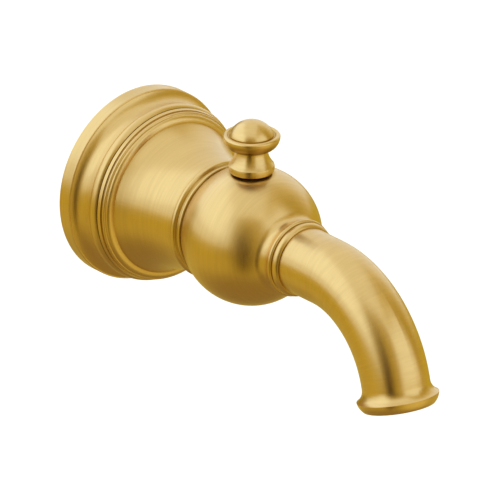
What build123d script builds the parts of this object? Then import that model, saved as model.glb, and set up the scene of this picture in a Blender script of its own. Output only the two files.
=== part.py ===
from build123d import *
import os
from math import cos, radians, sin, sqrt

# Wall-mounted bath spout with a lift diverter, in millimetres.
# The wall is the plane x = 0, the spout reaches out along +X and +Z is up.
# The origin is on the inlet's axis, in the plane of the wall.

# Wall flange, turned about the inlet's axis
flange_radius = 40.6
rim_width = 6.1
rim_edge = 0.4
rim_face = 0.6
cove_length = 5.9
cove_depth = 3.7
land_length = 2.5
land_lip = 0.25
first_bead_width = 4.5
first_bead_crown = 1.1
flange_groove_width = 0.5
flange_groove_depth = 0.4
band_width = 1.3
band_drop = 0.4
second_bead_step = 0.5
second_bead_width = 1.4
second_bead_drop = 0.7
second_bead_crown = 0.5
third_bead_width = 1.8
third_bead_drop = 2.65
front_step = 0.3
flange_bore_length = 8.0
flange_back_width = 7.1

# Soft seals of the flange
gasket_width = 3.5
gasket_thickness = 1.5
gasket_edge = 2.0
flange_ring_section = 1.8
flange_ring_setback = 4.0

# Spout body: bell and ring, then ball and collar
body_wall = 3.0
hub_shoulder = 2.7
hub_setback = 1.0
bell_length = 27.2
ring_radius = 24.2
ring_bead_width = 2.5
ring_bead_crown = 0.8
ring_groove_width = 1.8
ring_groove_depth = 0.8
ring_small_bead_width = 1.3
ring_small_bead_crown = 0.5
ring_foot_drop = 0.65
ball_radius = 28.75
neck_start_radius = 17.0
neck_length = 6.5
collar_radius = 16.0
collar_bead_width = 1.7
collar_bead_drop = 0.8
collar_small_bead_width = 3.3
collar_small_bead_drop = 0.8
collar_bead_crown = 0.7
collar_bore_wall = 3.1
partition_thickness = 5.2
guide_boss_wall = 3.0
guide_boss_depth = 5.5

# Spout nose, a bent tube with a flared lip
nose_radius = 13.95
nose_wall = 2.9
nose_straight = 14.2
nose_bend_radius = 44.3
nose_bend_angle = 75.9
nose_end_straight = 1.3
nose_spigot_length = 6.4
lip_flare = 2.95
lip_flare_length = 4.9
lip_band_length = 4.0
lip_band_drop = 2.1
lip_band_crown = 0.4
mouth_flare = 1.4

# Inlet for a slip-on copper tube
tube_diameter = 15.88
tube_clearance = 0.06
tube_stop = 1.0
adapter_wall = 5.0
adapter_hex_length = 10.0
adapter_spigot_wall = 1.9
inlet_ring_section = 1.8
inlet_ring_squeeze = 0.09
inlet_ring_spacing = 6.0
inlet_ring_setback = 5.0
set_screw_radius = 2.4
set_screw_length = 7.0
set_screw_tip_gap = 0.35
set_screw_socket = 1.45
set_screw_socket_depth = 2.5
set_screw_setback = 6.7
screw_access_radius = 3.5

# Diverter port, gate and stem
port_radius = 5.5
seat_wall = 3.0
seat_flange_length = 5.0
seal_overlap = 1.2
seal_thickness = 2.6
cup_rim = 0.6
cup_base = 1.4
cup_rim_height = 1.2
port_margin = 0.2
rivet_radius = 1.5
rivet_head_radius = 3.0
rivet_head_height = 1.4
rivet_tail_radius = 2.6
rivet_tail_height = 1.2
stem_radius = 2.5
blade_thickness = 2.0
blade_width = 8.0
blade_margin = 1.0
guide_wall = 3.0
guide_flange = 1.7
stem_ring_section = 1.8

# Diverter knob, turned about the stem
knob_base_radius = 9.1
knob_skirt = 0.6
knob_band_radius = 9.25
knob_band_height = 2.1
knob_band_crown = 0.2
knob_waist_radius = 6.5
knob_waist_height = 8.3
knob_waist_lean = 6.0
knob_bowl_height = 8.8
knob_bowl_overhang = 0.5
knob_disc_radius = 11.7
knob_disc_height = 14.5
knob_lip_height = 0.35
knob_lip_width = 2.1
knob_lip_crown = 0.6
knob_groove_width = 0.5
knob_groove_depth = 0.45
knob_height = 21.15
knob_socket_depth = 10.0

# Clearances
slip_gap = 0.1
stem_gap = 0.08
ring_gap = 0.05
moving_gap = 0.3

# Stations along the inlet's axis
land_x = rim_width + cove_length
first_bead_x = land_x + land_length
first_groove_x = first_bead_x + first_bead_width
band_x = first_groove_x + flange_groove_width
second_groove_x = band_x + band_width
second_bead_x = second_groove_x + flange_groove_width
third_bead_x = second_bead_x + second_bead_width
flange_depth = third_bead_x + third_bead_width
ring_x = flange_depth + bell_length
ring_groove_x = ring_x + ring_bead_width
ring_small_bead_x = ring_groove_x + ring_groove_width
ring_end_x = ring_small_bead_x + ring_small_bead_width
ring_foot_radius = ring_radius - ring_foot_drop
ball_x = ring_end_x + sqrt(ball_radius**2 - ring_foot_radius**2)
neck_x = ball_x + sqrt(ball_radius**2 - neck_start_radius**2)
collar_x = neck_x + neck_length
collar_groove_x = collar_x + collar_bead_width
collar_end_x = collar_groove_x + collar_small_bead_width
partition_front_x = ring_end_x - body_wall
partition_back_x = partition_front_x - partition_thickness

# Radii of the flange's mouldings
cove_top_radius = flange_radius - rim_face
land_radius = cove_top_radius - cove_depth
first_bead_radius = land_radius + land_lip
band_radius = first_bead_radius - band_drop
second_bead_radius = band_radius - second_bead_step
third_bead_radius = second_bead_radius - second_bead_drop
front_radius = third_bead_radius - third_bead_drop
bell_radius = front_radius - front_step
hub_radius = bell_radius - hub_shoulder

# Radii of the waterway
chamber_radius = ball_radius - body_wall
collar_bore_radius = collar_radius - collar_bore_wall
spigot_radius = collar_bore_radius - slip_gap
nose_bore_radius = nose_radius - nose_wall
inlet_bore_radius = tube_diameter / 2 + tube_clearance
adapter_radius = inlet_bore_radius + adapter_wall
adapter_spigot_radius = inlet_bore_radius + adapter_spigot_wall
chamber_front_x = ball_x + sqrt(chamber_radius**2 - collar_bore_radius**2)

# Diverter places: the gate is modelled at rest, below the port
seal_radius = port_radius + seal_overlap
cup_radius = seal_radius + cup_rim
gate_lift = port_radius + cup_radius + port_margin
gate_z = -gate_lift
cup_x = ball_x + blade_thickness / 2
seal_x = cup_x + cup_base
seat_x = seal_x + seal_thickness + moving_gap
spigot_x = collar_end_x - nose_spigot_length
guide_radius = stem_radius + guide_wall
guide_flange_radius = guide_radius + guide_flange
guide_seat_z = sqrt(ball_radius**2 - (guide_flange_radius + moving_gap) ** 2)
guide_foot_z = chamber_radius - guide_boss_depth
knob_z = ball_radius + moving_gap


def turned(*edges):
    """A solid turned about the inlet's axis from profile edges in (x, radius)."""
    return revolve(make_face(edges), Axis.X)


def upright(*edges):
    """A solid turned about the stem's axis from profile edges in (radius, height)."""
    profile = Plane.XZ * make_face(edges)
    return Pos(ball_x, 0, 0) * revolve(profile, Axis.Z)


def bead(start, end, crown):
    """A rounded moulding between two points of a profile, raised by its crown."""
    middle = (Vector(*start) + Vector(*end)) / 2
    return ThreePointArc(start, middle + Vector(0, crown), end)


def on_chamber(x):
    """The point of the chamber's round wall at a station of the inlet's axis."""
    return x, sqrt(chamber_radius**2 - (ball_x - x) ** 2)


def rod(radius, x_start, x_end):
    """A round bar along the inlet's axis."""
    bar = Cylinder(radius, x_end - x_start, align=(Align.CENTER, Align.CENTER, Align.MIN))
    return Pos(x_start, 0, 0) * Rot(0, 90, 0) * bar


def post(radius, z_start, z_end):
    """A round bar along the stem's axis."""
    bar = Cylinder(radius, z_end - z_start, align=(Align.CENTER, Align.CENTER, Align.MIN))
    return Pos(ball_x, 0, z_start) * bar


def o_ring(inner_radius, section):
    """A seal of round section, lying in the XY plane about the origin."""
    return Torus(inner_radius + section / 2, section / 2)


def wall_flange():
    """Stepped escutcheon: rim, cove, land, three beads and the bore for the hub."""
    bore = hub_radius + slip_gap
    web_x = flange_depth - flange_bore_length
    hollow = flange_radius - flange_back_width
    rim = Polyline(
        (flange_depth, front_radius),
        (flange_depth, bore),
        (web_x, bore),
        (web_x, hollow),
        (0, hollow),
        (0, flange_radius),
        (rim_width - rim_edge, flange_radius),
    )
    rim_round = RadiusArc(rim @ 1, (rim_width, flange_radius - rim_edge), rim_edge)
    rim_front = Line(rim_round @ 1, (rim_width, cove_top_radius))
    cove = TangentArc((land_x, land_radius), rim_front @ 1, tangent=(-1, 0))
    land = Polyline((land_x, land_radius), (first_bead_x, land_radius), (first_bead_x, first_bead_radius))
    first = bead(land @ 1, (first_groove_x, first_bead_radius), first_bead_crown)
    first_groove = Polyline(
        first @ 1,
        (first_groove_x, first_bead_radius - flange_groove_depth),
        (band_x, first_bead_radius - flange_groove_depth),
        (band_x, first_bead_radius),
    )
    band = Line(first_groove @ 1, (second_groove_x, band_radius))
    second_groove = Polyline(
        band @ 1,
        (second_groove_x, band_radius - flange_groove_depth),
        (second_bead_x, band_radius - flange_groove_depth),
        (second_bead_x, second_bead_radius),
    )
    second = bead(second_groove @ 1, (third_bead_x, third_bead_radius), second_bead_crown)
    third = EllipticalCenterArc(
        (third_bead_x, front_radius), third_bead_width, third_bead_drop, 0, arc_size=90
    )
    ring = turned(
        rim, rim_round, rim_front, cove, land, first, first_groove, band, second_groove, second, third
    )
    outer = flange_radius - gasket_edge + slip_gap
    inner = outer - gasket_width - 2 * slip_gap
    return ring - (rod(outer, 0, gasket_thickness) - rod(inner, 0, gasket_thickness))


def wall_gasket():
    """Flat soft ring in the back of the flange, flush with the wall."""
    outer = flange_radius - gasket_edge
    return rod(outer, 0, gasket_thickness) - rod(outer - gasket_width, 0, gasket_thickness)


def flange_ring_groove():
    """Radius at the bottom of the hub's groove and the groove's middle."""
    floor = hub_radius + slip_gap - ring_gap - flange_ring_section
    return floor, flange_depth - flange_ring_setback


def flange_o_ring():
    """Friction ring that holds the flange on the hub."""
    floor, middle = flange_ring_groove()
    return Pos(middle, 0, 0) * Rot(0, 90, 0) * o_ring(floor, flange_ring_section)


def spout_body():
    """Hub, bell and ring, with the hollow behind and the partition that carries the inlet."""
    hub_bore = hub_radius - body_wall
    spigot_bore = adapter_spigot_radius + slip_gap
    hub = Polyline(
        on_chamber(partition_front_x),
        (partition_front_x, spigot_bore),
        (partition_back_x, spigot_bore),
        (partition_back_x, ring_radius - body_wall),
        (flange_depth, hub_bore),
        (hub_setback, hub_bore),
        (hub_setback, hub_radius),
        (flange_depth, hub_radius),
        (flange_depth, bell_radius),
    )
    bell = TangentArc((ring_x, ring_radius), (flange_depth, bell_radius), tangent=(-1, 0))
    ring = bead((ring_x, ring_radius), (ring_groove_x, ring_radius), ring_bead_crown)
    groove = bead(
        (ring_groove_x, ring_radius), (ring_small_bead_x, ring_radius), -ring_groove_depth
    )
    small_ring = bead(
        (ring_small_bead_x, ring_radius), (ring_end_x, ring_foot_radius), ring_small_bead_crown
    )
    joint = Line((ring_end_x, ring_foot_radius), on_chamber(ring_end_x))
    dish = ThreePointArc(
        on_chamber(ring_end_x), on_chamber(ring_end_x - body_wall / 2), on_chamber(partition_front_x)
    )
    casting = turned(hub, bell, ring, groove, small_ring, joint, dish)
    casting -= set_screw_line(screw_access_radius, bell_radius)
    floor, middle = flange_ring_groove()
    half = flange_ring_section / 2 + slip_gap
    seal_groove = rod(hub_radius, middle - half, middle + half) - rod(floor, middle - half, middle + half)
    return casting - seal_groove


def ball_body():
    """Ball, neck and collar around the diverter's chamber, joined to the ring by a flat face."""
    collar_front = collar_radius - collar_bead_drop - collar_small_bead_drop
    joint = Line(on_chamber(ring_end_x), (ring_end_x, ring_foot_radius))
    ball = ThreePointArc(
        (ring_end_x, ring_foot_radius), (ball_x, ball_radius), (neck_x, neck_start_radius)
    )
    neck = TangentArc((neck_x, neck_start_radius), (collar_x, collar_radius), tangent=ball % 1)
    collar_mid = (collar_groove_x, collar_radius - collar_bead_drop)
    collar = bead((collar_x, collar_radius), collar_mid, collar_bead_crown)
    small_collar = bead(collar_mid, (collar_end_x, collar_front), collar_bead_crown)
    front = Polyline(
        (collar_end_x, collar_front),
        (collar_end_x, collar_bore_radius),
        (chamber_front_x, collar_bore_radius),
    )
    chamber = ThreePointArc(
        (chamber_front_x, collar_bore_radius), (ball_x, chamber_radius), on_chamber(ring_end_x)
    )
    casting = turned(joint, ball, neck, collar, small_collar, front, chamber)
    boss = post(guide_radius + guide_boss_wall, guide_foot_z, guide_seat_z - slip_gap)
    casting += boss & (Pos(ball_x, 0, 0) * Sphere(ball_radius))
    casting -= post(ball_radius, guide_seat_z, 2 * ball_radius)
    return casting - post(guide_radius + slip_gap, 0, ball_radius)


def nose_frame():
    """Plane at the end of the nose's tube: its Z axis runs out of the mouth."""
    turn = radians(nose_bend_angle)
    ahead = (cos(turn), 0, -sin(turn))
    bend_x = collar_end_x + nose_straight + nose_bend_radius * sin(turn)
    bend_z = nose_bend_radius * (cos(turn) - 1)
    end = Vector(bend_x, 0, bend_z) + Vector(*ahead) * nose_end_straight
    return Plane(origin=end, x_dir=(sin(turn), 0, cos(turn)), z_dir=ahead)


def nose_run(radius, x_start):
    """Round bar along the nose: a straight, a bend and a short straight end."""
    bend_x = collar_end_x + nose_straight
    straight = rod(radius, x_start, bend_x)
    axis = Axis((bend_x, 0, -nose_bend_radius), (0, 1, 0))
    section = Plane(origin=(bend_x, 0, 0), z_dir=(1, 0, 0)) * Circle(radius)
    bend = revolve(section, axis, nose_bend_angle)
    end = Cylinder(radius, nose_end_straight, align=(Align.CENTER, Align.CENTER, Align.MAX))
    return straight + bend + nose_frame() * end


def spout_nose():
    """Bent tube with a spigot for the collar and a flared, rounded lip."""
    lip_radius = nose_radius + lip_flare
    lip_end = lip_flare_length + lip_band_length
    flare = TangentArc((nose_radius, 0), (lip_radius, lip_flare_length), tangent=(0, 1))
    foot = (lip_radius - lip_band_drop, lip_end)
    middle = (Vector(lip_radius, lip_flare_length) + Vector(*foot)) / 2
    band = ThreePointArc((lip_radius, lip_flare_length), middle + Vector(lip_band_crown, 0), foot)
    close = Polyline(foot, (0, lip_end), (0, 0), (nose_radius, 0))
    lip = revolve(Plane.XZ * make_face([flare, band, close]), Axis.Z)
    mouth_radius = nose_bore_radius + mouth_flare
    bore = Cylinder(nose_bore_radius, lip_end, align=(Align.CENTER, Align.CENTER, Align.MIN))
    mouth = Pos(0, 0, lip_end) * Cone(
        nose_bore_radius, mouth_radius, lip_band_length, align=(Align.CENTER, Align.CENTER, Align.MAX)
    )
    tube = nose_run(nose_radius, collar_end_x) + nose_frame() * lip
    tube += rod(spigot_radius, spigot_x, collar_end_x)
    return tube - nose_run(nose_bore_radius, spigot_x) - nose_frame() * (bore + mouth)


def inlet_ring_places():
    """Middles of the two tube seals, rear first."""
    front = partition_back_x - inlet_ring_setback
    return front - inlet_ring_spacing, front


def set_screw_place():
    """Station of the set screw, just ahead of the flange."""
    return flange_depth + set_screw_setback


def set_screw_line(radius, reach):
    """Round bar down from the inlet's axis at the set screw."""
    bar = Cylinder(radius, reach, align=(Align.CENTER, Align.CENTER, Align.MAX))
    return Pos(set_screw_place(), 0, 0) * bar


def inlet_adapter():
    """Slip-on socket for the copper tube, with two seal grooves and a hexagon at its back."""
    floor = inlet_bore_radius - inlet_ring_squeeze + inlet_ring_section + ring_gap
    half = inlet_ring_section / 2 + slip_gap
    hexagon = extrude(Plane.YZ * RegularPolygon(adapter_radius, 6, major_radius=False), adapter_hex_length)
    socket = hexagon + rod(adapter_radius, adapter_hex_length, partition_back_x)
    socket += rod(adapter_spigot_radius, partition_back_x, partition_front_x)
    socket -= rod(inlet_bore_radius, 0, partition_back_x)
    socket -= rod(inlet_bore_radius - tube_stop, partition_back_x, partition_front_x)
    for middle in inlet_ring_places():
        socket -= rod(floor, middle - half, middle + half)
    return socket - set_screw_line(set_screw_radius + slip_gap, adapter_radius + adapter_wall)


def inlet_o_ring(middle):
    """Seal on the copper tube."""
    ring = o_ring(inlet_bore_radius - inlet_ring_squeeze, inlet_ring_section)
    return Pos(middle, 0, 0) * Rot(0, 90, 0) * ring


def set_screw():
    """Headless screw with a hexagon socket that clamps the copper tube from below."""
    tip = inlet_bore_radius + set_screw_tip_gap
    body = Cylinder(set_screw_radius, set_screw_length, align=(Align.CENTER, Align.CENTER, Align.MAX))
    socket = Pos(0, 0, -set_screw_length) * extrude(
        RegularPolygon(set_screw_socket, 6), set_screw_socket_depth
    )
    return Pos(set_screw_place(), 0, -tip) * (body - socket)


def diverter_seat():
    """Port sleeve in the collar's bore, its rear face the seat for the gate."""
    flange_x = spigot_x - seat_flange_length
    sleeve = rod(port_radius + seat_wall, seat_x, flange_x) + rod(spigot_radius, flange_x, spigot_x)
    return sleeve - rod(port_radius, seat_x, spigot_x)


def stem_ring_z():
    """Height of the stem's seal, half way up the guide."""
    return (guide_foot_z + guide_seat_z) / 2


def stem_guide():
    """Bush in the top of the ball, its flange under the knob."""
    bush = post(guide_radius, guide_foot_z, guide_seat_z)
    bush += post(guide_flange_radius, guide_seat_z, ball_radius)
    bush -= post(stem_radius + stem_gap, guide_foot_z, ball_radius)
    half = stem_ring_section / 2 + slip_gap
    groove = post(stem_radius + stem_ring_section + slip_gap, stem_ring_z() - half, stem_ring_z() + half)
    return bush - groove


def stem_o_ring():
    """Seal between the guide and the stem."""
    return Pos(ball_x, 0, stem_ring_z()) * o_ring(stem_radius + ring_gap, stem_ring_section)


def diverter_stem():
    """Rod with a flat end that carries the gate."""
    blade_foot_z = gate_z - rivet_tail_radius - blade_margin
    blade_top_z = gate_z + cup_radius + blade_margin
    blade = Pos(ball_x, 0, blade_foot_z) * Box(
        blade_thickness,
        blade_width,
        blade_top_z - blade_foot_z,
        align=(Align.CENTER, Align.CENTER, Align.MIN),
    )
    shank = post(stem_radius, blade_top_z, knob_z + knob_socket_depth)
    hole = rod(rivet_radius + slip_gap, ball_x - blade_thickness, ball_x + blade_thickness)
    return shank + blade - Pos(0, 0, gate_z) * hole


def gate_cup():
    """Shallow cup against the stem's flat end."""
    rim_x = seal_x + cup_rim_height
    cup = rod(cup_radius, cup_x, rim_x) - rod(seal_radius, seal_x, rim_x)
    return Pos(0, 0, gate_z) * (cup - rod(rivet_radius + slip_gap, cup_x, seal_x))


def gate_seal():
    """Rubber disc in the cup, open in the middle for the rivet's head."""
    disc = rod(seal_radius - slip_gap, seal_x, seal_x + seal_thickness)
    return Pos(0, 0, gate_z) * (disc - rod(rivet_head_radius + slip_gap, seal_x, seal_x + seal_thickness))


def gate_rivet():
    """Rivet through the cup and the stem's flat end."""
    back_x = ball_x - blade_thickness / 2
    rivet = rod(rivet_radius, back_x, seal_x)
    rivet += rod(rivet_head_radius, seal_x, seal_x + rivet_head_height)
    rivet += rod(rivet_tail_radius, back_x - rivet_tail_height, back_x)
    return Pos(0, 0, gate_z) * rivet


def diverter_knob():
    """Lift knob: banded foot, flared waist, bowl with a rounded lip, and a dome set in a groove."""
    skirt_bore = guide_flange_radius + moving_gap
    bowl_foot = knob_waist_radius + knob_bowl_overhang
    groove_z = knob_disc_height + knob_lip_height
    lip_radius = knob_disc_radius - knob_lip_width
    cap_radius = lip_radius - knob_groove_width
    dome_edge = (cap_radius, groove_z + knob_groove_depth)
    lean = radians(knob_waist_lean)
    foot = Polyline((0, 0), (skirt_bore, 0), (skirt_bore, -knob_skirt), (knob_base_radius, -knob_skirt))
    band_middle = (Vector(*(foot @ 1)) + Vector(knob_band_radius, knob_band_height)) / 2
    band = ThreePointArc(
        foot @ 1, band_middle + Vector(knob_band_crown, 0), (knob_band_radius, knob_band_height)
    )
    waist = TangentArc(
        (knob_waist_radius, knob_waist_height),
        (knob_band_radius, knob_band_height),
        tangent=(sin(lean), -cos(lean)),
    )
    throat = Polyline(
        (knob_waist_radius, knob_waist_height),
        (knob_waist_radius, knob_bowl_height),
        (bowl_foot, knob_bowl_height),
    )
    bowl = TangentArc(
        (knob_disc_radius, knob_disc_height), (bowl_foot, knob_bowl_height), tangent=(0, -1)
    )
    lip = bead((knob_disc_radius, knob_disc_height), (lip_radius, groove_z), knob_lip_crown)
    groove = Polyline((lip_radius, groove_z), (cap_radius, groove_z), dome_edge)
    dome = TangentArc((0, knob_height), dome_edge, tangent=(1, 0))
    spine = Line((0, knob_height), (0, 0))
    knob = Pos(0, 0, knob_z) * upright(foot, band, waist, throat, bowl, lip, groove, dome, spine)
    return knob - post(stem_radius + ring_gap, knob_z - knob_skirt, knob_z + knob_socket_depth)


rear_ring_x, front_ring_x = inlet_ring_places()
pieces = {
    "wall_flange": wall_flange(),
    "wall_gasket": wall_gasket(),
    "flange_o_ring": flange_o_ring(),
    "spout_body": spout_body(),
    "ball_body": ball_body(),
    "spout_nose": spout_nose(),
    "inlet_adapter": inlet_adapter(),
    "inlet_o_ring_rear": inlet_o_ring(rear_ring_x),
    "inlet_o_ring_front": inlet_o_ring(front_ring_x),
    "set_screw": set_screw(),
    "diverter_seat": diverter_seat(),
    "stem_guide": stem_guide(),
    "stem_o_ring": stem_o_ring(),
    "diverter_stem": diverter_stem(),
    "gate_cup": gate_cup(),
    "gate_seal": gate_seal(),
    "gate_rivet": gate_rivet(),
    "diverter_knob": diverter_knob(),
}

os.makedirs("parts", exist_ok=True)
for name, piece in pieces.items():
    export_step(piece, f"parts/{name}.step")
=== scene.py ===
from math import cos, pi, radians, sin, tan

import bpy
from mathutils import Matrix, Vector


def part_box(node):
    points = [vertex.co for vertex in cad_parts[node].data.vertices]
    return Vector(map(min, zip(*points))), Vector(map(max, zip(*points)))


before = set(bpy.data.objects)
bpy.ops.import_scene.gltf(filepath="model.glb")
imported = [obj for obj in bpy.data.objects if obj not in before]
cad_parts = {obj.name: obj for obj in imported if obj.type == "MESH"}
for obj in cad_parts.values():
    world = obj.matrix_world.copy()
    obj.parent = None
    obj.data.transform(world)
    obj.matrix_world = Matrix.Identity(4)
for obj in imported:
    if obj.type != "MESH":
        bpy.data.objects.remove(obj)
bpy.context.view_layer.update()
scene = bpy.context.scene
scene.view_settings.view_transform = "Standard"

# Camera at the photograph's angle: degrees and metres, and millimetres for the lens and sensor
VIEW_AZIMUTH = 51.0
VIEW_ELEVATION = 23.279
VIEW_TARGET = Vector((0.07278, 0.0, -0.00702))
VIEW_DISTANCE = 7.2918
VIEW_LENS = 1297.2
VIEW_SENSOR = 36.0
VIEW_CLIP_END = 200.0

# Floor, world and lamps, in metres
FLOOR_Z = -1.4
FLOOR_SIZE = 120.0
FLOOR_COLOUR = (0.85, 0.85, 0.85, 1)
FLOOR_ROUGHNESS = 0.9
FLOOR_GLOW = 0.45
FLOOR_GLOW_COLOUR = (1, 1, 1, 1)
WORLD_COLOUR = (0.82, 0.80, 0.74, 1)
LAMP_DISTANCE = 2.0
LAMP_COLOUR = (0.50, 0.68, 1.0)

# Places on the object that its brushing follows, in metres
KNOB_LOW, KNOB_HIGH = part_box("diverter_knob")
STEM_X = (KNOB_LOW.x + KNOB_HIGH.x) / 2
NOSE_STRAIGHT = 0.0142
NOSE_BEND_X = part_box("ball_body")[1].x + NOSE_STRAIGHT
NOSE_BEND_RADIUS = 0.0443

# Brushing: the share of each layer of lines and its shape, from fine to broad, with periods in metres
BRUSH_LAYERS = (
    (0.40, {"period": 0.0004, "wander": 1.6, "detail": 3.0}),
    (0.45, {"period": 0.0012, "wander": 1.2, "detail": 2.0}),
    (0.15, {"period": 0.005, "wander": 0.8, "detail": 2.0}),
)

# Brushing: the noise where lines are darkest and lightest, and how they take the light
BRUSH_DARKEST = 0.38
BRUSH_LIGHTEST = 0.62
BRUSH_BUMP = {"Strength": 0.2, "Distance": 0.00004}
BRUSH_ROUGHNESS_SWING = 0.03
BRUSH_ANISOTROPY = 0.4
BRUSH_ANISOTROPY_TURN = 0.25

# Painted shade in creases: its sample count, the clear coat that starts outside it, and the slopes from
# which faces count as facing down for painted shade
CREASE_SAMPLES = 8
COAT_START = 0.8
COAT_IOR = 1.8
DOWN_START = -0.1
DOWN_FULL = -0.7

# Metals: colours of lines and of the painted shade in creases, the reach of that painted shade in metres,
# roughness and weight of the clear coat
GOLD = {
    "light": (0.89, 0.63, 0.213, 1),
    "dark": (0.82, 0.575, 0.187, 1),
    "crease_shade": (0.30, 0.165, 0.03, 1),
    "roughness": 0.31,
    "coat": 1.0,
}
BRASS = {
    "light": (0.80, 0.63, 0.32, 1),
    "dark": (0.66, 0.50, 0.22, 1),
    "crease_shade": (0.34, 0.22, 0.08, 1),
    "shelter": 0.0016,
    "roughness": 0.30,
    "coat": 0.0,
}
STEEL = {
    "light": (0.50, 0.50, 0.51, 1),
    "dark": (0.36, 0.36, 0.37, 1),
    "crease_shade": (0.15, 0.15, 0.15, 1),
    "shelter": 0.0016,
    "roughness": 0.35,
    "coat": 0.0,
}

# Reach of gold's painted crease shade, finer on the knob, and how far painted shade darkens the knob's
# faces where they face down
GOLD_SHELTER = 0.002
KNOB_SHELTER = 0.0015
KNOB_UNDER_SHADE = 1.0

# Rubber
RUBBER_DARK = (0.012, 0.012, 0.012, 1)
RUBBER_LIGHT = (0.030, 0.029, 0.028, 1)
RUBBER_GRAIN = {"Scale": 4000.0, "Detail": 3.0}
RUBBER_CLOUD = {"Scale": 180.0, "Detail": 2.0}
RUBBER_BUMP = {"Strength": 0.25, "Distance": 0.00005}
RUBBER_SMOOTHEST = 0.55
RUBBER_ROUGHEST = 0.75

# The Mix node's sockets for colours, by number
MIX_FIRST = 6
MIX_SECOND = 7
MIX_RESULT = 2


def add_object(name, data):
    """A new object in the scene."""
    thing = bpy.data.objects.new(name, data)
    scene.collection.objects.link(thing)
    return thing


def panel(name, width, height):
    """A flat rectangle in its own XY plane."""
    x, y = width / 2, height / 2
    mesh = bpy.data.meshes.new(name)
    mesh.from_pydata([(-x, -y, 0), (x, -y, 0), (x, y, 0), (-x, y, 0)], [], [(0, 1, 2, 3)])
    return add_object(name, mesh)


def aim(thing, azimuth, elevation, distance):
    """Puts a camera, lamp or card somewhere round the object and turns its -Z axis to it.

    The angles are in degrees: azimuth 0 is the camera's side, and plus is to its right.
    """
    turn = radians(VIEW_AZIMUTH + azimuth)
    lift = radians(elevation)
    place = VIEW_TARGET + distance * Vector((sin(turn) * cos(lift), -cos(turn) * cos(lift), sin(lift)))
    thing.location = place
    thing.rotation_euler = (VIEW_TARGET - place).to_track_quat("-Z", "Y").to_euler()


class Graph:
    """A node material, built from short calls."""

    def __init__(self, name):
        self.material = bpy.data.materials.new(name)
        self.material.use_nodes = True
        self.tree = self.material.node_tree
        self.shader = self.tree.nodes["Principled BSDF"]

    def put(self, socket, value):
        """Links another node's output to an input, or sets a plain value."""
        if isinstance(value, bpy.types.NodeSocket):
            self.tree.links.new(value, socket)
        else:
            socket.default_value = value

    def add(self, kind, inputs=(), **settings):
        """A new node with its settings, and its inputs by name or number."""
        node = self.tree.nodes.new(kind)
        for key, value in settings.items():
            setattr(node, key, value)
        for key, value in dict(inputs).items():
            self.put(node.inputs[key], value)
        return node

    def math(self, operation, *values):
        """The result of an operation on numbers."""
        return self.add("ShaderNodeMath", dict(enumerate(values)), operation=operation).outputs[0]

    def vector(self, operation, *values):
        """The outputs of an operation on vectors, Vector and Value."""
        return self.add("ShaderNodeVectorMath", dict(enumerate(values)), operation=operation).outputs

    def join(self, x, y, z):
        """A vector from its three parts."""
        return self.add("ShaderNodeCombineXYZ", {0: x, 1: y, 2: z}).outputs[0]

    def split(self, vector):
        """The three parts of a vector."""
        return self.add("ShaderNodeSeparateXYZ", {0: vector}).outputs

    def coordinate(self, kind):
        """A place on the object itself, or its Normal there."""
        return self.add("ShaderNodeTexCoord").outputs[kind]

    def ramp(self, value, start=0.0, end=1.0, low=0.0, high=1.0):
        """Runs from low at the start to high at the end, and stays there."""
        ends = {"From Min": start, "From Max": end, "To Min": low, "To Max": high}
        return self.add("ShaderNodeMapRange", {"Value": value, **ends}).outputs[0]

    def blend(self, amount, first, second):
        """Runs from the first colour at 0 to the second at 1."""
        inputs = {"Factor": amount, MIX_FIRST: first, MIX_SECOND: second}
        return self.add("ShaderNodeMix", inputs, data_type="RGBA").outputs[MIX_RESULT]

    def surface(self, **values):
        """Fills the shader's inputs and gives the finished material."""
        for key, value in values.items():
            self.put(self.shader.inputs[key.replace("_", " ")], value)
        return self.material


def around_inlet(graph):
    """Turning coordinates about the inlet's axis: along it, the two across it, and the way round."""
    x, y, z = graph.split(graph.coordinate("Object"))
    return x, y, z, graph.join(0.0, graph.math("MULTIPLY", z, -1.0), y)


def around_stem(graph):
    """Turning coordinates about the diverter's stem."""
    x, y, z = graph.split(graph.coordinate("Object"))
    across = graph.math("SUBTRACT", x, STEM_X)
    return z, across, y, graph.join(graph.math("MULTIPLY", y, -1.0), across, 0.0)


def along_nose(graph):
    """Turning coordinates along the nose: its straight, then round its bend."""
    x, y, z = graph.split(graph.coordinate("Object"))
    ahead = graph.math("SUBTRACT", x, NOSE_BEND_X)
    above = graph.math("ADD", z, NOSE_BEND_RADIUS)
    angle = graph.math("MAXIMUM", graph.math("ARCTAN2", ahead, above), 0.0)
    run = graph.math("MULTIPLY", angle, NOSE_BEND_RADIUS)
    along = graph.math("ADD", graph.math("MINIMUM", x, NOSE_BEND_X), run)
    reach = graph.vector("LENGTH", graph.join(graph.math("MAXIMUM", ahead, 0.0), above, 0.0))["Value"]
    up = graph.math("SUBTRACT", reach, NOSE_BEND_RADIUS)
    lean = graph.math("MULTIPLY", y, graph.math("SINE", angle))
    rise = graph.math("MULTIPLY", y, graph.math("COSINE", angle))
    return along, y, up, graph.join(lean, graph.math("MULTIPLY", up, -1.0), rise)


def streaks(graph, along, across, up, period, wander, detail):
    """Noise drawn out into lines around an axis, 0 to 1.

    The lines are about a period apart. With more wander, each changes sooner on its way round.
    """
    flat = graph.join(across, up, 0.0)
    radius = graph.vector("LENGTH", flat)["Value"]
    outward = graph.vector("NORMALIZE", flat)["Vector"]
    ring = graph.add("ShaderNodeVectorMath", {0: outward, "Scale": wander}, operation="SCALE")
    line = graph.join(0.0, 0.0, graph.math("DIVIDE", along, period))
    place = graph.vector("ADD", ring.outputs["Vector"], line)["Vector"]
    noise = graph.add(
        "ShaderNodeTexNoise",
        {"Vector": place, "W": graph.math("DIVIDE", radius, period), "Scale": 1.0, "Detail": detail},
        noise_dimensions="4D",
    )
    return noise.outputs[0]


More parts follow.
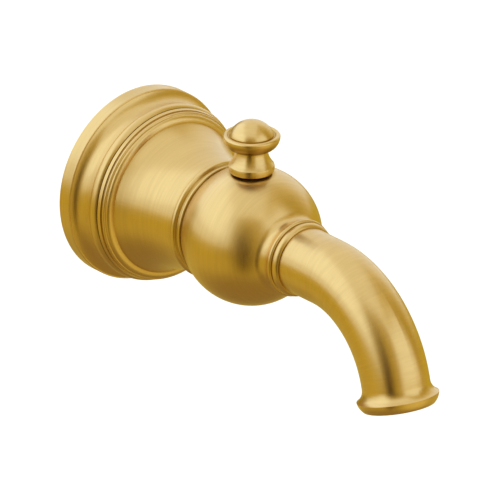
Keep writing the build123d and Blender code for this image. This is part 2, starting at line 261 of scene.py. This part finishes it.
def unshaded_share(graph, shelter, under):
    """Mask for painted shade: 1 in the open, less in creases and, by the share under, on what faces down.
    """
    crease_shade = graph.add("ShaderNodeAmbientOcclusion", {"Distance": shelter}, samples=CREASE_SAMPLES)
    slope = graph.split(graph.coordinate("Normal"))["Z"]
    down = graph.ramp(slope, DOWN_START, DOWN_FULL, high=under)
    return graph.math("MULTIPLY", crease_shade.outputs["AO"], graph.math("SUBTRACT", 1.0, down))


def brushed_metal(name, coordinates, light, dark, crease_shade, shelter, roughness, coat, under=0.0):
    """Satin metal with fine lines around its axis, with painted shade (a darker colour) and less coat
    where it isn't open.
    """
    graph = Graph(name)
    *place, way_round = coordinates(graph)
    lines = 0.0
    for share, layer in BRUSH_LAYERS:
        lines = graph.math("MULTIPLY_ADD", streaks(graph, *place, **layer), share, lines)
    tone = graph.ramp(lines, BRUSH_DARKEST, BRUSH_LIGHTEST)
    bump = graph.add("ShaderNodeBump", {**BRUSH_BUMP, "Height": lines})
    # Painted shade: darker colour and less coat in creases and, by the share under, on faces that face
    # down
    unshaded = unshaded_share(graph, shelter, under)
    rougher = roughness + BRUSH_ROUGHNESS_SWING
    smoother = roughness - BRUSH_ROUGHNESS_SWING
    return graph.surface(
        Base_Color=graph.blend(unshaded, crease_shade, graph.blend(tone, dark, light)),
        Metallic=1.0,
        Roughness=graph.ramp(tone, low=rougher, high=smoother),
        Coat_Weight=graph.ramp(unshaded, COAT_START, high=coat) if coat else 0.0,
        Coat_Roughness=roughness,
        Coat_IOR=COAT_IOR,
        Anisotropic=BRUSH_ANISOTROPY,
        Anisotropic_Rotation=BRUSH_ANISOTROPY_TURN,
        Tangent=way_round,
        Normal=bump.outputs[0],
    )


def rubber(name):
    """Matt black seal with a fine moulded grain."""
    graph = Graph(name)
    place = graph.coordinate("Object")
    grain = graph.add("ShaderNodeTexNoise", {"Vector": place, **RUBBER_GRAIN}).outputs[0]
    cloud = graph.add("ShaderNodeTexNoise", {"Vector": place, **RUBBER_CLOUD}).outputs[0]
    bump = graph.add("ShaderNodeBump", {**RUBBER_BUMP, "Height": grain})
    return graph.surface(
        Base_Color=graph.blend(cloud, RUBBER_DARK, RUBBER_LIGHT),
        Roughness=graph.ramp(grain, low=RUBBER_SMOOTHEST, high=RUBBER_ROUGHEST),
        Normal=bump.outputs[0],
    )


def floor_paint(name):
    """Pale matt paint that glows enough to show white to the camera and in the metal."""
    graph = Graph(name)
    ray = graph.add("ShaderNodeLightPath").outputs
    seen = graph.math("MAXIMUM", ray["Is Camera Ray"], ray["Is Glossy Ray"])
    seen = graph.math("MAXIMUM", seen, ray["Is Transmission Ray"])
    return graph.surface(
        Base_Color=FLOOR_COLOUR,
        Roughness=FLOOR_ROUGHNESS,
        Emission_Color=FLOOR_GLOW_COLOUR,
        Emission_Strength=graph.math("MULTIPLY", seen, FLOOR_GLOW),
    )


def card_paint(name, near, far, start, reach, middle=(0.0, 0.0)):
    """Matt paint that fades from one colour to another, from a share of its reach outwards."""
    graph = Graph(name)
    offset = graph.vector("SUBTRACT", graph.coordinate("Object"), (*middle, 0.0))["Vector"]
    distance = graph.vector("LENGTH", graph.vector("DIVIDE", offset, (*reach, 1.0))["Vector"])["Value"]
    return graph.surface(
        Base_Color=graph.blend(graph.ramp(distance, start), near, far),
        Roughness=1.0,
        Specular_IOR_Level=0.0,
    )


def softbox(name, azimuth, elevation, half_width, half_height, radiance):
    """Rectangular lamp that covers an angle as seen from the object."""
    light = bpy.data.lights.new(name, "AREA")
    light.shape = "RECTANGLE"
    light.size = 2 * LAMP_DISTANCE * tan(radians(half_width))
    light.size_y = 2 * LAMP_DISTANCE * tan(radians(half_height))
    light.energy = radiance * pi * light.size * light.size_y
    light.color = LAMP_COLOUR
    aim(add_object(name, light), azimuth, elevation, LAMP_DISTANCE)


def reflector(name, paint, azimuth, elevation, distance, width, height):
    """Card that only shows in the metal, as a photographer places beside it."""
    card = panel(name, width, height)
    aim(card, azimuth, elevation, distance)
    card.data.materials.append(paint)
    card.visible_camera = False
    card.visible_shadow = False
    card.visible_diffuse = False


# Camera
camera_data = bpy.data.cameras.new("camera")
camera_data.sensor_width = VIEW_SENSOR
camera_data.lens = VIEW_LENS
camera_data.clip_end = VIEW_CLIP_END
camera = add_object("camera", camera_data)
aim(camera, azimuth=0, elevation=VIEW_ELEVATION, distance=VIEW_DISTANCE)
scene.camera = camera

# Floor
floor = panel("floor", FLOOR_SIZE, FLOOR_SIZE)
floor.location.z = FLOOR_Z
floor.data.materials.append(floor_paint("floor_paint"))

# World
world = bpy.data.worlds.new("studio")
scene.world = world
world.use_nodes = True
world.node_tree.nodes["Background"].inputs["Color"].default_value = WORLD_COLOUR

# Lamps
softbox("left_softbox", azimuth=-96, elevation=38, half_width=52, half_height=24, radiance=0.44)
softbox("right_softbox", azimuth=57, elevation=20, half_width=26, half_height=22, radiance=0.20)

# Dark card on the camera's side
front_paint = card_paint(
    "front_card_paint",
    near=(0.04, 0.012, 0.006, 1),
    far=(0.60, 0.44, 0.08, 1),
    start=0.30,
    reach=(0.40, 1.30),
    middle=(-0.14, -0.22),
)
reflector("front_card", front_paint, azimuth=-6, elevation=1, distance=1.1, width=1.26, height=2.50)

# Card on the right
side_paint = card_paint(
    "side_card_paint",
    near=(0.56, 0.40, 0.03, 1),
    far=(0.86, 0.72, 0.38, 1),
    start=0.3,
    reach=(0.95, 2.2),
    middle=(-0.35, 0.0),
)
reflector("side_card", side_paint, azimuth=113, elevation=22, distance=2.0, width=1.8, height=2.9)

# Low strips on the left and right
edge_paint = card_paint(
    "edge_card_paint", near=(0.66, 0.49, 0.04, 1), far=(0.46, 0.33, 0.03, 1), start=0.3, reach=(2.4, 2.4)
)
reflector(
    "left_edge_card", edge_paint, azimuth=-80, elevation=-12.5, distance=2.0, width=5.1, height=0.75
)
reflector("right_edge_card", edge_paint, azimuth=135, elevation=-8, distance=2.0, width=1.5, height=0.75)

# Card behind the object
back_paint = card_paint(
    "back_card_paint", near=(0.38, 0.27, 0.02, 1), far=(0.50, 0.37, 0.03, 1), start=0.3, reach=(1.0, 1.0)
)
reflector("back_card", back_paint, azimuth=-144, elevation=-3, distance=1.9, width=1.9, height=1.05)

# Pale strip above the right
top_paint = card_paint(
    "top_card_paint", near=(0.78, 0.63, 0.26, 1), far=(0.80, 0.68, 0.40, 1), start=0.3, reach=(1.3, 1.3)
)
reflector("top_card", top_paint, azimuth=90, elevation=61, distance=2.0, width=2.6, height=0.5)

# Pale card below the right
bounce_paint = card_paint(
    "bounce_card_paint",
    near=(0.85, 0.68, 0.24, 1),
    far=(0.70, 0.55, 0.15, 1),
    start=0.3,
    reach=(0.7, 0.6),
)
reflector("bounce_card", bounce_paint, azimuth=57, elevation=-29, distance=1.0, width=1.12, height=0.95)

# Wide card under the object
low_paint = card_paint(
    "low_card_paint", near=(0.33, 0.22, 0.072, 1), far=(0.61, 0.46, 0.10, 1), start=0.45, reach=(1.7, 1.7)
)
reflector("low_card", low_paint, azimuth=0, elevation=-90, distance=1.25, width=20.0, height=20.0)

# Materials
# Gold, brass and steel get painted shade in their creases; the knob's gold also on faces that face down
turned_gold = brushed_metal("turned_gold", around_inlet, shelter=GOLD_SHELTER, **GOLD)
nose_gold = brushed_metal("nose_gold", along_nose, shelter=GOLD_SHELTER, **GOLD)
knob_gold = brushed_metal("knob_gold", around_stem, shelter=KNOB_SHELTER, under=KNOB_UNDER_SHADE, **GOLD)
turned_brass = brushed_metal("turned_brass", around_inlet, **BRASS)
stem_brass = brushed_metal("stem_brass", around_stem, **BRASS)
screw_steel = brushed_metal("screw_steel", around_stem, **STEEL)
seal_rubber = rubber("seal_rubber")

# Finish of each piece
finishes = {
    "wall_flange": turned_gold,
    "spout_body": turned_gold,
    "ball_body": turned_gold,
    "spout_nose": nose_gold,
    "diverter_knob": knob_gold,
    "inlet_adapter": turned_brass,
    "diverter_seat": turned_brass,
    "gate_cup": turned_brass,
    "gate_rivet": turned_brass,
    "stem_guide": stem_brass,
    "diverter_stem": stem_brass,
    "set_screw": screw_steel,
    "wall_gasket": seal_rubber,
    "flange_o_ring": seal_rubber,
    "inlet_o_ring_rear": seal_rubber,
    "inlet_o_ring_front": seal_rubber,
    "stem_o_ring": seal_rubber,
    "gate_seal": seal_rubber,
}
for node_name, finish in finishes.items():
    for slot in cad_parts[node_name].material_slots:
        slot.material = finish
